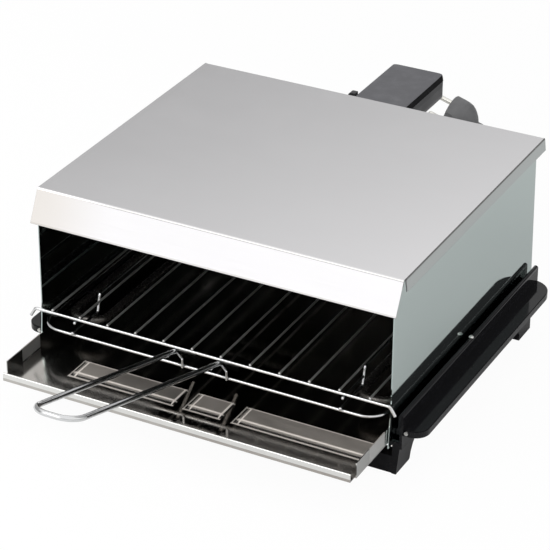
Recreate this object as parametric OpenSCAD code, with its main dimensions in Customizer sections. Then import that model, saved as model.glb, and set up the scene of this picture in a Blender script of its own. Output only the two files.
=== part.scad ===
// Open-front grill toaster: a steel hood on two black handle wings, with a
// wire rack on a long wire handle, a drip tray below it, tube heaters above
// and below the rack, a terminal box behind and a mains lead with its plug.
// Millimetres. X is the width, +Y the back, +Z up, and z = 0 is the table.
// Inside the source y = 0 is the front edge of the hood's top plate.

/* [Hood] */
// Width of the hood's top plate
hood_w = 320; // [280:1:360]
// Depth of the hood's top plate
hood_d = 270.6; // [250:0.2:300]
// Height of the top plate above the table
hood_h = 171.5; // [165:0.5:190]
// Thickness of the steel sheet
sheet = 0.8; // [0.6:0.1:1]
// Height that the front flange hangs down
front_drop = 26.4; // [22:0.2:28]
// Distance that the front flange slants forward
front_lean = 12.7; // [8:0.1:16]
// Height that the side flange hangs down
side_drop = 11; // [8:0.5:14]
// Distance that the side flange slants outward
side_lean = 1.6; // [1:0.1:2]
// Height of the hem along the front flange
hem_h = 4; // [3:0.5:6]
// Distance of each side wall's outer face inside the top plate's edge
wall_inset = 3.4; // [3:0.1:5]
// Forward lean of a side wall's front edge, over its height
wall_front_lean = 7; // [6:0.5:12]
// Backward lean of a side wall's rear edge, over its height
wall_rear_lean = 5; // [2:0.5:6]
// Height of a side wall's bottom edge above the table
wall_z = 29.5; // [28:0.5:31]
// Width of the flange at a side wall's bottom edge
wall_foot = 3.6; // [3:0.1:4]
// Distance of the rear wall's outer face in front of the plate's rear edge
rear_inset = 9; // [8:0.5:12]
// Gap between the top plate and the ceiling panel
top_gap = 4; // [3:0.5:6]

/* [Wings and cross bars] */
// Width of a wing, from the wall's face to its outer edge
wing_w = 23; // [20:0.5:30]
// Height of the wing plate's top above the table
wing_z = 41.5; // [40:0.5:44]
// Thickness of the wing plate
wing_t = 3; // [2.5:0.5:4]
// Height of the skirt round the wing plate's edge
skirt_h = 5.8; // [5:0.2:7]
// Height of the ridge above the wing plate
ridge_h = 13.5; // [11:0.5:16]
// Thickness of the ridge
ridge_t = 4.2; // [3.6:0.2:5]
// Gap between the wall and the ridge
ridge_gap = 2.8; // [2.4:0.1:3.6]
// Length of a foot along the wing
foot_l = 25; // [20:1:32]
// Height of the cross bars
bar_h = 15.5; // [12:0.5:18]
// Thickness of the cross bars
bar_t = 5; // [4:0.5:7]

/* [Drip tray] */
// Depth of the tray, from its lip to its rear wall
tray_d = 274; // [256:1:276]
// Height of the tray's side walls
tray_wall = 13.3; // [11:0.1:13.4]
// Height of the front lip
lip_h = 7.1; // [6:0.1:8.5]
// Distance of the lip in front of the side walls
lip_ahead = 7.6; // [5:0.2:9]
// Distance that the tray is pulled out as it stands
tray_out = 57; // [40:1:60]
// Height of the tray's underside above the table
tray_z = 33.2; // [33:0.1:34]
// Clearance of the tray on each side
tray_gap = 0.6; // [0.4:0.1:1]
// Height of the pressed ribs in the tray's floor
rib_h = 1.2; // [0.8:0.1:1.6]

/* [Rack] */
// Number of rack bars
bar_count = 12; // [8:2:14]
// Diameter of a rack bar
bar_d = 1.8; // [1.4:0.1:2.2]
// Diameter of the front and rear wires
wire_d = 2.5; // [2.2:0.1:3.2]
// Height of the front wire's axis above the table
wire_z = 69.3; // [67:0.1:72]
// Diameter of the frame wire below
frame_d = 2.3; // [2.2:0.1:2.8]
// Clearance between the frame wire and each side wall
frame_gap = 2.2; // [1.5:0.1:4]
// Height of the frame wire's axis above the table
frame_z = 57; // [56.6:0.1:58]
// Bend radius of the frame's corners
frame_r = 18.5; // [12:0.5:24]
// Distance of each side guide inside the frame wire's axis
guide_gap = 32.8; // [28:0.1:33.5]
// Distance of each side guide outside the rack bar beside it
guide_step = 3.85; // [3.4:0.05:6]
// Diameter of a guide wire
guide_d = 2.5; // [2:0.1:2.8]
// Height of a guide's top wire above the rack bars
guide_rise = 3; // [2:0.5:8]

/* [Handle] */
// Diameter of the handle's rod
rod_d = 4.5; // [4:0.1:5]
// Distance between the two rods at the rack
handle_w = 39.5; // [34:0.5:44]
// Distance between the two rods at the loop
handle_end_w = 37; // [34:0.5:50]
// Distance of the handle's centre line from the middle of the rack
handle_x = -8; // [-10:0.5:10]
// Reach of the handle in front of the rack
handle_reach = 216; // [150:1:225]
// Slope of the handle, in degrees
handle_tilt = 17; // [10:0.1:20]
// Bend radius of the loop's corners
handle_r = 14.5; // [8:0.5:18]

/* [Heaters] */
// Diameter of a heater tube
tube_d = 6.5; // [6:0.1:7]
// Height of the lower heater's axis above the table
low_heater_z = 51.5; // [50.5:0.1:52]
// Distance of the upper heater's axis below the ceiling panel
up_heater_drop = 17; // [12:0.5:18]
// Distance of the outer heater legs' axis inside the side walls
leg_gap = 9.8; // [8.8:0.1:15]
// Distance between the two legs of a hairpin
leg_pitch = 30; // [26:0.5:30]

/* [Terminal box] */
// Width of the box's lid
box_w = 48; // [40:1:60]
// Length of the box
box_l = 67; // [50:1:80]
// Height of the box
box_h = 23; // [21:0.5:40]
// Depth of the box's top below the top plate
box_drop = 8; // [6:0.5:12]
// Sideways place of the box's centre
box_x = 3; // [-20:1:20]
// Distance that the box's sides stand out below its lid
box_bulge = 3; // [2:0.5:4]
// Depth of the wiring channel behind the rear wall
channel_d = 28; // [20:1:34]

/* [Lead and plug] */
// Diameter of the mains lead
lead_d = 6.6; // [6:0.1:7.5]
// Radius of the coil's outer loop, at the lead's axis
coil_r = 46; // [44:1:52]
// Diameter of the plug's face
plug_d = 37; // [34:0.5:40]
// Length of the plug's body
plug_l = 30; // [24:1:40]
// Diameter of a plug pin
pin_d = 4.8; // [4:0.1:4.8]
// Length of a plug pin
pin_l = 19; // [18:0.5:20]
// Distance between the plug's pins
pin_pitch = 19; // [18:0.5:20]

/* [Hidden] */
$fn = 48;
eps = 0.01;
touch = 0.05;        // hairline between two round pieces that meet
steel = [0.78, 0.79, 0.78];
plastic = [0.1, 0.1, 0.11];
wall_x = hood_w / 2 - wall_inset;            // outer face of a side wall
inner_x = wall_x - sheet;                    // inner face of a side wall
wall_top = hood_h - sheet;
wall_y0 = 4;                                 // a wall's front edge at its top, behind y = 0
wall_y1 = hood_d - 8;
rear_y = hood_d - rear_inset;
ceiling_z = hood_h - sheet - top_gap;        // top face of the ceiling panel
wing_x = wall_x + wing_w;
ridge_x = wall_x + ridge_gap;
web_x = wall_x + wall_foot + 0.4;            // inner face of a wing's web
ledge_top = wall_z - touch;
ledge_z = 24;
wing_y0 = 1;
wing_y1 = hood_d - 7;
rear_foot_y = wing_y1 - 10;                   // outer end of a rear foot
tray_x = inner_x - tray_gap;                 // outer face of the tray's side walls
lip_y = -14.6 - tray_out;                    // front face of the lip as the tray stands
tray_floor = tray_z + sheet;
wire_y = -14.5;                              // axis of the rack's front wire
frame_x = inner_x - frame_gap - frame_d / 2;
frame_y0 = -18.5;
frame_y1 = hood_d - 24;
rack_y1 = frame_y1 - 5;                      // axis of the rack's rear wire
bar_z = wire_z + wire_d / 2 + touch + bar_d / 2 + 0.3;
guide_x = frame_x - guide_gap;
bar_pitch = 2 * (guide_x - guide_step) / (bar_count - 3);
guide_low = frame_z + frame_d / 2 + touch + guide_d / 2;
guide_top = bar_z + guide_rise;
leg_y0 = 15;                                 // axis of a heater's front bend
run_y = hood_d - 55;                         // axis of the inner rear run
back_y = hood_d - 32;                        // axis of the outer rear run
tail_y = hood_d + 4;                         // end of a heater leg in the channel
tail_x = 18;                                 // a heater leg's distance from the box's middle
up_heater_z = ceiling_z - sheet - up_heater_drop;
channel_y1 = rear_y + channel_d;
channel_w = box_w + 34;
box_y0 = channel_y1 + 6;
box_y1 = box_y0 + box_l;
box_z1 = hood_h - box_drop;
box_z0 = box_z1 - box_h;
sleeve_y = box_y1 - 17.6;                    // the lead leaves the box's underside here
sleeve_l = 26;
bend_z = wire_z - wire_d / 2 - touch - rod_d / 2 / cos(handle_tilt);
front_y = wire_y - handle_reach * cos(handle_tilt) - rod_d / 2;
centre_y = (front_y + box_y1) / 2;    // the origin lies under the box's middle

// Moves a module from the drawing's y to the part's own origin.
module placed() { translate([0, -centre_y, 0]) children(); }
// Draws the children at +X and mirrored at -X.
module both() { children(); mirror([1, 0, 0]) children(); }
// A straight round rod from p to q.
module rod(p, q, d) {
  v = q - p;
  l = norm(v);
  translate(p) rotate([0, acos(v.z / l), atan2(v.y, v.x)]) cylinder(d = d, h = l);
}
// A bent round rod in the XY plane along the points p, with bends of radius r.
function turn(a, b, c) = let (u = b - a, v = c - b) atan2(u.x * v.y - u.y * v.x, u * v);
function tangent(p, i, n, r) = i == 0 || i == n - 1 ? 0 : r * tan(abs(turn(p[i - 1], p[i], p[i + 1])) / 2);
module bent_rod(p, r, d) {
  // a bend is a hair thicker than its rods and laps over their ends
  n = len(p);
  for (i = [0:n - 2]) {
    u = (p[i + 1] - p[i]) / norm(p[i + 1] - p[i]);
    a = p[i] + u * (tangent(p, i, n, r) - (i == 0 ? 0 : 0.1));
    b = p[i + 1] - u * (tangent(p, i + 1, n, r) - (i == n - 2 ? 0 : 0.1));
    if (norm(b - a) > 0.25) rod([a.x, a.y, 0], [b.x, b.y, 0], d);
  }
  for (i = [1:n - 2]) {
    t = turn(p[i - 1], p[i], p[i + 1]);
    s = sign(t);
    u = (p[i] - p[i - 1]) / norm(p[i] - p[i - 1]);
    c = p[i] - u * tangent(p, i, n, r) + s * r * [-u.y, u.x];
    start = atan2(u.y, u.x) - 90 * s;
    lap = 9 / r;
    translate([c.x, c.y, 0]) rotate([0, 0, (s > 0 ? start : start + t) - lap])
      rotate_extrude(angle = abs(t) + 2 * lap) translate([r, 0]) circle(d = d + 0.04);
  }
}

// Hood
module fold_line() {
  // side view of the top plate with its front flange, hem and rear flange
  polygon([[1.2, hood_h], [hood_d - 0.8, hood_h], [hood_d, hood_h - 0.8], [hood_d, hood_h - 7],
    [hood_d - sheet, hood_h - 7], [hood_d - sheet, hood_h - sheet],
    [1.6, hood_h - sheet], [0.9, hood_h - 1.3],
    [sheet * 0.9 - front_lean * (front_drop - hem_h) / front_drop, hood_h - front_drop + hem_h],
    [2.2 * sheet - front_lean * (front_drop - hem_h) / front_drop, hood_h - front_drop + hem_h],
    [2.2 * sheet - front_lean, hood_h - front_drop + 0.7], [1.2 * sheet - front_lean, hood_h - front_drop],
    [0.4 - front_lean, hood_h - front_drop], [-front_lean, hood_h - front_drop + 0.6],
    [-0.3, hood_h - 1.1], [0.3, hood_h - 0.3]]);
}
module top_cover() {
  color(steel) placed() difference() {
    union() {
      rotate([90, 0, 90]) translate([0, 0, -hood_w / 2]) linear_extrude(hood_w) fold_line();
      both() translate([0, hood_d, 0]) rotate([90, 0, 0]) linear_extrude(hood_d - 3)
        polygon([[hood_w / 2 - 1, hood_h - sheet], [hood_w / 2 - 1, hood_h], [hood_w / 2 + 0.2, hood_h - 0.3],
          [hood_w / 2 + 0.5, hood_h - 1], [hood_w / 2 + side_lean, hood_h - side_drop],
          [hood_w / 2 + side_lean - sheet, hood_h - side_drop], [hood_w / 2 - 0.4, hood_h - 1.4]]);
    }
    screw_holes(hood_d, 3.1);
  }
}
module ceiling_panel() {
  color(steel) placed() {
    translate([-inner_x + touch, 8, ceiling_z - sheet]) cube([2 * (inner_x - touch), rear_y - sheet - 8, sheet]);
    translate([-inner_x + touch, 8 - sheet, ceiling_z - 9]) cube([2 * (inner_x - touch), sheet, 9]);
  }
}
module side_wall() {
  difference() {
    union() {
      translate([inner_x, 0, 0]) rotate([90, 0, 90]) linear_extrude(sheet)
        polygon([[wall_y0, wall_top], [wall_y1, wall_top], [wall_y1 + wall_rear_lean, wall_z],
          [wall_y0 - 9 - wall_front_lean, wall_z], [wall_y0 - 9 - 0.44 * wall_front_lean, 0.41 * hood_h],
          [-2.6 - front_lean * 0.35, wall_top - front_drop],
          [wall_y0 - 1, wall_top - 3]]);
      translate([wall_x - eps, wing_y0, wall_z])
        cube([wall_foot + eps, wall_y1 + wall_rear_lean - wing_y0, sheet]);
    }
    for (y = screw_ys) translate([wall_x + 1.9, y, wall_z - 1]) cylinder(d = 2.6, h = 3);
  }
}
screw_ys = [60, hood_d - 80];
cover_screw_x = hood_w / 2 - 50;
rear_flange_x = hood_w / 2 - 30;
module left_wall() { color(steel) placed() mirror([1, 0, 0]) side_wall(); }
module right_wall() { color(steel) placed() side_wall(); }
module screw_holes(y, d) {
  for (x = [-cover_screw_x, cover_screw_x]) translate([x, y - 2, hood_h - 4])
    rotate([-90, 0, 0]) cylinder(d = d, h = 4);
}
module rear_wall() {
  flange_y = hood_d - 2 * sheet - touch;
  color([0.3, 0.3, 0.3]) placed() difference() {
    union() {
      translate([-inner_x + touch, rear_y - sheet, wall_z])
        cube([2 * (inner_x - touch), sheet, wall_top - touch - wall_z]);
      translate([-rear_flange_x, rear_y - sheet, wall_top - touch - sheet])
        cube([2 * rear_flange_x, flange_y + 2 * sheet - rear_y, sheet]);
      translate([-rear_flange_x, flange_y, hood_h - 7])
        cube([2 * rear_flange_x, sheet, wall_top - touch - hood_h + 7]);
    }
    leg_holes(bush_d + 0.1);
    screw_holes(flange_y, 3.1);
  }
}
module cover_screws() {
  color("silver") placed() for (x = [-cover_screw_x, cover_screw_x])
    translate([x, hood_d + touch, hood_h - 4]) rotate([-90, 0, 0]) {
    cylinder(d = 6, h = 1.6);
    translate([0, 0, 1.5]) cylinder(d1 = 6, d2 = 3.6, h = 0.9, $fn = 24);
    translate([0, 0, -3]) cylinder(d = 3, h = 3.1);
  }
}

// Wings and cross bars
module wing_outline(inset = 0) {
  x0 = wall_x + 0.5 + inset;
  y0 = wing_y0 + inset;
  y1 = wing_y1 - inset;
  polygon(concat([[x0, y1], [x0, y0]],
    [for (i = [0:8]) let (a = -90 + i * 90 / 8)
      [wing_x - 12 + (12 - inset) * cos(a), wing_y0 + 12 + (12 - inset) * sin(a)]],
    [for (i = [0:10]) let (a = i * 90 / 10)
      [wing_x - 17 + (17 - inset) * cos(a), wing_y1 - 20 + (20 - inset) * sin(a)]]));
}
module foot(y0, flare, out) {
  // side view of a foot: upright at its outer end, flared into the wing at its inner end
  intersection() {
    translate([wall_x - 2, y0, 0]) rotate([90, 0, 90]) linear_extrude(12) scale([flare, 1])
      polygon([[0, 0], [foot_l - 1, 0], [foot_l, 1], [foot_l, 7], [foot_l + 2, 14], [foot_l + 6, 20],
        [foot_l + 14, 26], [foot_l + 14, wing_z - 1], [0, wing_z - 1]]);
    translate([0, y0 - 60, 0]) rotate([90, 0, 180]) translate([0, 0, -120]) linear_extrude(240) mirror([1, 0])
      polygon([[wall_x - 2, 0], [wall_x + out, 0], [max(web_x + 2.2, wall_x + out), wing_z - 1],
        [web_x, wing_z - 1], [web_x, ledge_top], [wall_x - 2, ledge_top]]);
  }
}
module wing() {
  difference() {
    union() {
      translate([0, 0, wing_z - wing_t]) linear_extrude(wing_t - 0.6) wing_outline();
      translate([0, 0, wing_z - 0.6]) linear_extrude(0.6) wing_outline(0.6);
      translate([0, 0, wing_z - skirt_h]) linear_extrude(skirt_h - wing_t + eps) difference() {
        wing_outline();
        wing_outline(2);
      }
      // ridge along the wall, with a rounded top and ends
      translate([ridge_x, wing_y0 - 2, wing_z - wing_t])
        cube([ridge_t, wing_y1 - wing_y0 + 3, ridge_h + wing_t - ridge_t / 2]);
      translate([ridge_x + ridge_t / 2, wing_y0 - 2, wing_z + ridge_h - ridge_t / 2]) rotate([-90, 0, 0])
        cylinder(d = ridge_t, h = wing_y1 - wing_y0 + 3);
      // web and ledge below, which hold the wall's flange
      translate([web_x, wing_y0 - 2, ledge_z]) cube([2.2, wing_y1 - wing_y0 + 3, wing_z - wing_t - ledge_z + 1]);
      translate([wall_x - 2, wing_y0 - 2, ledge_z])
        cube([web_x - wall_x + 4.2, wing_y1 - wing_y0 + 3, ledge_top - ledge_z]);
      foot(wing_y0 - 2, 1, 1.8);
      foot(rear_foot_y, -1, 6.9);
    }
    for (y = screw_ys) translate([wall_x + 1.9, y, ledge_z - 1]) cylinder(d = 2.6, h = 8);
    // notch under the rear foot's inner end
    translate([wall_x - 3, rear_foot_y - foot_l - 4, -1]) cube([11, 5, 8]);
    for (y = stud_ys) translate([ridge_x + ridge_t / 2, y, wing_z + ridge_h - 6]) cylinder(d = 2.5, h = 8);
  }
}
stud_ys = [130];
module left_wing() { color(plastic) placed() mirror([1, 0, 0]) wing(); }
module right_wing() { color(plastic) placed() wing(); }
module wing_screws() {
  color("silver") placed() both() for (y = screw_ys) translate([wall_x + 1.9, y, 0]) {
    translate([0, 0, ledge_z - 1.5]) cylinder(d = 5, h = 1.5 - touch);
    translate([0, 0, ledge_z - 1]) cylinder(d = 2.4, h = wall_z + sheet - ledge_z + 1);
  }
}
module wing_studs() {
  color("silver") placed() both() {
    for (y = stud_ys) translate([ridge_x + ridge_t / 2, y, wing_z + ridge_h]) {
      translate([0, 0, touch]) cylinder(d = 4.2, h = 0.6);
      translate([0, 0, 0.6]) cylinder(d1 = 4.2, d2 = 2.6, h = 0.9, $fn = 24);
      translate([0, 0, -5]) cylinder(d = 2.3, h = 5.2);
    }
    translate([wing_x - 14, wing_y0 - touch, wing_z - 2.6]) rotate([90, 0, 0]) cylinder(d = 3.2, h = 1.4);
  }
}
module cross_bar(y) {
  translate([-wall_x + 2 + touch, y, 0.5]) cube([2 * (wall_x - 2 - touch), bar_t, bar_h]);
  translate([-wall_x + 2 + touch, y + bar_t - eps, bar_h - 2]) cube([2 * (wall_x - 2 - touch), 7, 2.5]);
}
module front_bar() { color(plastic) placed() cross_bar(wing_y0 - 2); }
module rear_bar() {
  color(plastic) placed() translate([0, rear_foot_y - 1, 0]) mirror([0, 1, 0]) cross_bar(0);
}

// Rails on the side walls' inner faces
rail_y1 = rear_y - sheet - 3;
module rack_rail() {
  z = frame_z - frame_d / 2 - 0.3;
  translate([inner_x - 6.2, 2, z - sheet]) cube([6.2 - touch, rail_y1 - 2, sheet]);
  translate([inner_x - touch - sheet, 2, z - sheet + eps]) cube([sheet, rail_y1 - 2, 5]);
}
module tray_rail() {
  translate([inner_x - 6, -2, tray_z - touch - sheet]) cube([6 - touch, rail_y1 + 2, sheet]);
  translate([inner_x - touch - sheet, -2, tray_z - touch - 3.6]) cube([sheet, rail_y1 + 2, 3.6]);
}
module left_rack_rail() { color(steel) placed() mirror([1, 0, 0]) rack_rail(); }
module right_rack_rail() { color(steel) placed() rack_rail(); }
module left_tray_rail() { color(steel) placed() mirror([1, 0, 0]) tray_rail(); }
module right_tray_rail() { color(steel) placed() tray_rail(); }

// Heaters: one bent tube each, with a hairpin at both sides
bush_d = tube_d + 4;
leg_out = inner_x - leg_gap;
leg_in = leg_out - leg_pitch;
module heater(z) {
  translate([0, 0, z]) bent_rod([[box_x - tail_x, tail_y], [box_x - tail_x, back_y], [-leg_out, back_y],
    [-leg_out, leg_y0], [-leg_in, leg_y0], [-leg_in, run_y], [leg_in, run_y], [leg_in, leg_y0],
    [leg_out, leg_y0], [leg_out, back_y], [box_x + tail_x, back_y], [box_x + tail_x, tail_y]],
    leg_pitch / 2 - 1.5, tube_d);
}
module lower_heater() { color([0.35, 0.35, 0.34]) placed() heater(low_heater_z); }
module upper_heater() { color([0.35, 0.35, 0.34]) placed() heater(up_heater_z); }
module leg_holes(d) {
  for (z = [low_heater_z, up_heater_z], x = [-tail_x, tail_x])
    translate([box_x + x, rear_y - 6, z]) rotate([-90, 0, 0]) cylinder(d = d, h = 12);
}
clip_ys = [60, hood_d - 80];
module lower_clips() {
  color(steel) placed() both() for (y = clip_ys) translate([0, y, 0]) {
    translate([leg_out - 4, 0, low_heater_z - tube_d / 2 - 0.3 - sheet])
      cube([inner_x - leg_out + 4 - touch, 9, sheet]);
    translate([inner_x - touch - sheet, 0, low_heater_z - tube_d / 2 - 0.3 - sheet]) cube([sheet, 9, 3.4]);
  }
}
module upper_clips() {
  color(steel) placed() both() for (y = clip_ys, x = [leg_out, leg_in]) translate([x, y, 0]) {
    translate([tube_d / 2 + 0.3, 0, up_heater_z - tube_d / 2 - 0.3 - sheet])
      cube([sheet, 9, ceiling_z - sheet - touch - up_heater_z + tube_d / 2 + 0.3 + sheet]);
    translate([-4, 0, up_heater_z - tube_d / 2 - 0.3 - sheet]) cube([8, 9, sheet]);
  }
}
module heater_bushes() {
  color("white") placed() difference() {
    for (z = [low_heater_z, up_heater_z], x = [-tail_x, tail_x])
      translate([box_x + x, rear_y - sheet, z]) rotate([-90, 0, 0]) {
      cylinder(d = bush_d, h = 5);
      translate([0, 0, sheet + touch]) cylinder(d = bush_d + 3, h = 4);
    }
    leg_holes(tube_d + 0.1);
  }
}
module heater_pins() {
  color("silver") placed() for (z = [low_heater_z, up_heater_z], x = [-tail_x, tail_x])
    translate([box_x + x, tail_y + touch, z]) rotate([-90, 0, 0]) cylinder(d = 3, h = 9);
}

// Drip tray
module rib(x0, x1) {
  // one pressed rib with bevelled sides, hollow below when it is taken away again one sheet lower
  y0 = lip_y + 29.6;
  y1 = lip_y + 55.6;
  intersection() {
    translate([x0, 0, tray_floor]) rotate([90, 0, 90]) linear_extrude(x1 - x0)
      polygon([[y0, -eps], [y1, -eps], [y1 - 2.4, rib_h], [y0 + 6, rib_h]]);
    translate([0, y1, tray_floor]) rotate([90, 0, 0]) linear_extrude(y1 - y0)
      polygon([[x0, -eps], [x1, -eps], [x1 - 2.4, rib_h], [x0 + 6, rib_h]]);
  }
}
module ribs() {
  // three ribs in a row, the left one ends well inside the tray
  rib(-112, -15);
  rib(-7, 27);
  rib(36, tray_x - 3.2);
}
module drip_tray() {
  side_y0 = lip_y + lip_ahead;
  y1 = lip_y + tray_d;
  color([0.62, 0.63, 0.62]) placed() {
    difference() {
      union() {
        translate([-tray_x, side_y0, tray_z]) cube([2 * tray_x, y1 - side_y0, sheet]);
        ribs();
      }
      translate([0, 0, -sheet]) ribs();
    }
    translate([-tray_x + 1.5, lip_y, tray_z]) cube([2 * tray_x - 3, lip_ahead + 1, sheet]);
    both() translate([tray_x - sheet, side_y0, tray_z]) cube([sheet, y1 - side_y0, tray_wall]);
    translate([-tray_x, y1 - sheet, tray_z]) cube([2 * tray_x, sheet, tray_wall - 1.4]);
    // front lip with its rolled edge
    translate([-tray_x + 1.5, lip_y, tray_z]) cube([2 * tray_x - 3, sheet, lip_h - 0.8]);
    translate([-tray_x + 1.5, lip_y + 0.8, tray_z + lip_h - 0.8]) rotate([0, 90, 0])
      cylinder(d = 1.6, h = 2 * tray_x - 3);
  }
}

// Rack: a frame wire below, a front and a rear wire above it, and the bars
module rack_frame() {
  color("silver") placed() translate([0, 0, frame_z]) bent_rod([[0, frame_y0], [frame_x, frame_y0],
    [frame_x, frame_y1], [-frame_x, frame_y1], [-frame_x, frame_y0], [0, frame_y0]], frame_r, frame_d);
}
module front_wire() {
  hook = wall_x + 1.5;
  color("silver") placed() translate([0, wire_y, wire_z]) rotate([90, 0, 0])
    bent_rod([[-hook - 4.6, -7.4], [-hook, 0], [hook, 0], [hook + 4.6, -7.4]], 3, wire_d);
}
half_bars = (bar_count - 1) * bar_pitch / 2;
module rear_wire() {
  color("silver") placed() rod([-half_bars - 4, rack_y1, wire_z], [half_bars + 4, rack_y1, wire_z], wire_d);
}
module rack_bars() {
  color("silver") placed() for (i = [0:bar_count - 1]) translate([i * bar_pitch - half_bars, 0, bar_z]) {
    rod([0, wire_y, 0], [0, rack_y1 + 3, 0], bar_d);
    translate([0, wire_y, 0]) sphere(d = bar_d + 0.6);
  }
}
link_d = 2.2;
module link(x, y0, y1) {
  difference() {
    rod([x, y0, frame_z], [x, y1, wire_z], link_d);
    rod([x - 3, y0, frame_z], [x + 3, y0, frame_z], frame_d + 2 * touch);
    rod([x - 3, y1, wire_z], [x + 3, y1, wire_z], wire_d + 2 * touch);
  }
}
module rack_links() {
  // upright links at the back, and in front a wire from under the front wire to each guide's post
  z = wire_z - wire_d / 2 - touch - link_d / 2;
  color("silver") placed() both() {
    for (x = [guide_x + 4, guide_x / 2]) link(x, frame_y1, rack_y1);
    rod([guide_x, wire_y - 2.2, z], [guide_x, 18.2, z], link_d);
    translate([guide_x, wire_y - 2.2, z]) sphere(d = link_d + 0.6);
  }
}
module guide() {
  // a wire that lies on the frame wire, stands up behind the front wire and runs back above the bars
  translate([guide_x, 0, 0]) rotate([90, 0, 90]) bent_rod([[frame_y0 - 2, guide_low], [18, guide_low],
    [22, guide_top], [rack_y1 - 16, guide_top], [rack_y1 - 12, guide_low], [frame_y1 + 2, guide_low]], 2.6, guide_d);
  translate([guide_x, frame_y0 - 2, guide_low]) sphere(d = guide_d + 0.5);
}
module left_guide() { color("silver") placed() mirror([1, 0, 0]) guide(); }
module right_guide() { color("silver") placed() guide(); }

// Handle: a long loop whose rods pass under the front wire and end in two legs
leg_drop = 19.5;
leg_back = 27;
module rack_handle() {
  w0 = handle_w / 2;
  w1 = handle_end_w / 2;
  color("silver") placed() translate([handle_x, wire_y, bend_z]) {
    rotate([-handle_tilt, 0, 0])
      bent_rod([[-w0, 0], [-w1, -handle_reach], [w1, -handle_reach], [w0, 0]], handle_r, rod_d);
    for (s = [-1, 1]) {
      translate([s * w0, 0, 0]) sphere(d = rod_d + 0.1);
      rod([s * w0, 0, 0], [s * w0, leg_back, -leg_drop], rod_d);
    }
  }
}
strut_d = 1.8;
module handle_struts() {
  // thin wires from each rod's end out to one side and down the front of the frame wire
  color("silver") placed() for (s = [-1, 1]) {
    root = [handle_x + s * handle_w / 2, wire_y, bend_z];
    knee = root + [9.2, frame_y0 - (frame_d + strut_d) / 2 - touch - wire_y, -1.5];
    start = root + (knee - root) / norm(knee - root) * (rod_d + 1) / 2 * 1.15;
    rod(start, knee, strut_d);
    translate(knee) sphere(d = strut_d + 0.1);
    rod([knee.x, knee.y, frame_z - 0.6], knee, strut_d);
  }
}

// Wiring channel and terminal box behind the rear wall
module wire_channel() {
  z0 = low_heater_z - 12;
  h = box_z1 - 6 - z0;
  color(plastic) placed() translate([box_x - channel_w / 2, rear_y + touch, z0]) difference() {
    cube([channel_w, channel_d - touch, h]);
    translate([1.2, -1, 1.2]) cube([channel_w - 2.4, channel_d - 1.2 + 1 - touch, h - 2.4]);
    translate([channel_w / 2 - 9, channel_d - 4, box_z0 + 4 - z0]) cube([18, 6, box_h - 12]);
  }
}
module terminal_block() {
  color([0.9, 0.88, 0.8]) placed() translate([box_x, channel_y1 - 1.2 - touch, (low_heater_z + up_heater_z) / 2])
    translate([-22, -9, -8]) cube([44, 9, 16]);
}
flange_drop = 9;                             // the flange reaches this far below the box
module box_flange() {
  color(plastic) placed() translate([box_x, channel_y1 + touch, 0]) difference() {
    union() {
      translate([-33, 0, box_z0 - flange_drop]) cube([66, 6 - 2 * touch, box_h + flange_drop - 3]);
      translate([-30, 0, box_z1 - 4]) cube([60, 6 - 2 * touch, 4]);
      for (x = [-30, 30]) translate([x, 0, box_z1 - 3]) rotate([-90, 0, 0]) cylinder(r = 3, h = 6 - 2 * touch);
    }
    translate([-9, -1, box_z0 + 4]) cube([18, 8, box_h - 12]);
    // notch that lets the lid run forward
    translate([-side_x + 0.8, -1, box_z1 - lid_h]) cube([side_x + 34, 8, lid_h + 1]);
    for (x = [-20, 20]) translate([x, 8, box_z0 - 4.5]) rotate([90, 0, 0]) cylinder(d = 3.4, h = 10);
  }
}
lid_h = 4.5;
lid_ahead = 18;                              // the lid reaches this far forward over the channel
side_x = box_w / 2 + box_bulge;
module box_plan(y0, y1, r) {
  // the box from above, with its two rear corners rounded
  translate([0, 0, box_z0 - 1]) linear_extrude(box_h + 2) polygon(concat([[-side_x, y0], [side_x, y0]],
    [for (i = [0:6]) [side_x - r + r * cos(15 * i), y1 - r + r * sin(15 * i)]],
    [for (i = [0:6]) [-side_x + r - r * sin(15 * i), y1 - r + r * cos(15 * i)]]));
}
module box_base() {
  color(plastic) placed() translate([box_x, box_y0, 0]) difference() {
    intersection() {
      rotate([90, 0, 180]) linear_extrude(box_l + 1) polygon([[-side_x + 1, box_z1 - lid_h],
        [-side_x, box_z1 - lid_h - 4], [-side_x, box_z0 + 7], [-side_x + 1.5, box_z0 + 2.5], [-side_x + 5, box_z0],
        [side_x - 5, box_z0], [side_x - 1.5, box_z0 + 2.5], [side_x, box_z0 + 7], [side_x, box_z1 - lid_h - 4],
        [side_x - 1, box_z1 - lid_h]]);
      box_plan(-1, box_l - 0.6, 8);
    }
    translate([-side_x + 3, 2.5, box_z0 + 2.5]) cube([2 * side_x - 6, box_l - 8, box_h]);
    translate([-9, -1, box_z0 + 4]) cube([18, 5, box_h - 12]);
    translate([0, sleeve_y - box_y0, box_z0 - 1]) cylinder(d = lead_d + 3.2, h = 5);
  }
}
module box_lid() {
  color([0.24, 0.24, 0.25]) placed() translate([box_x, box_y0, 0]) {
    intersection() {
      translate([0, -lid_ahead, 0]) rotate([90, 0, 180]) linear_extrude(box_l + lid_ahead + 1)
        polygon([[-side_x + 1, box_z1 - lid_h + touch], [side_x - 1, box_z1 - lid_h + touch],
          [box_w / 2, box_z1 - 0.4], [box_w / 2 - 1, box_z1], [-box_w / 2 + 1, box_z1], [-box_w / 2, box_z1 - 0.4]]);
      box_plan(-lid_ahead - 1, box_l, 8);
    }
    translate([-side_x + 3.3, 2.8, box_z1 - lid_h - 2]) difference() {
      cube([2 * side_x - 6.6, box_l - 8.6, 2.1]);
      translate([1.5, 1.5, -1]) cube([2 * side_x - 9.6, box_l - 11.6, 4]);
    }
  }
}
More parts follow.
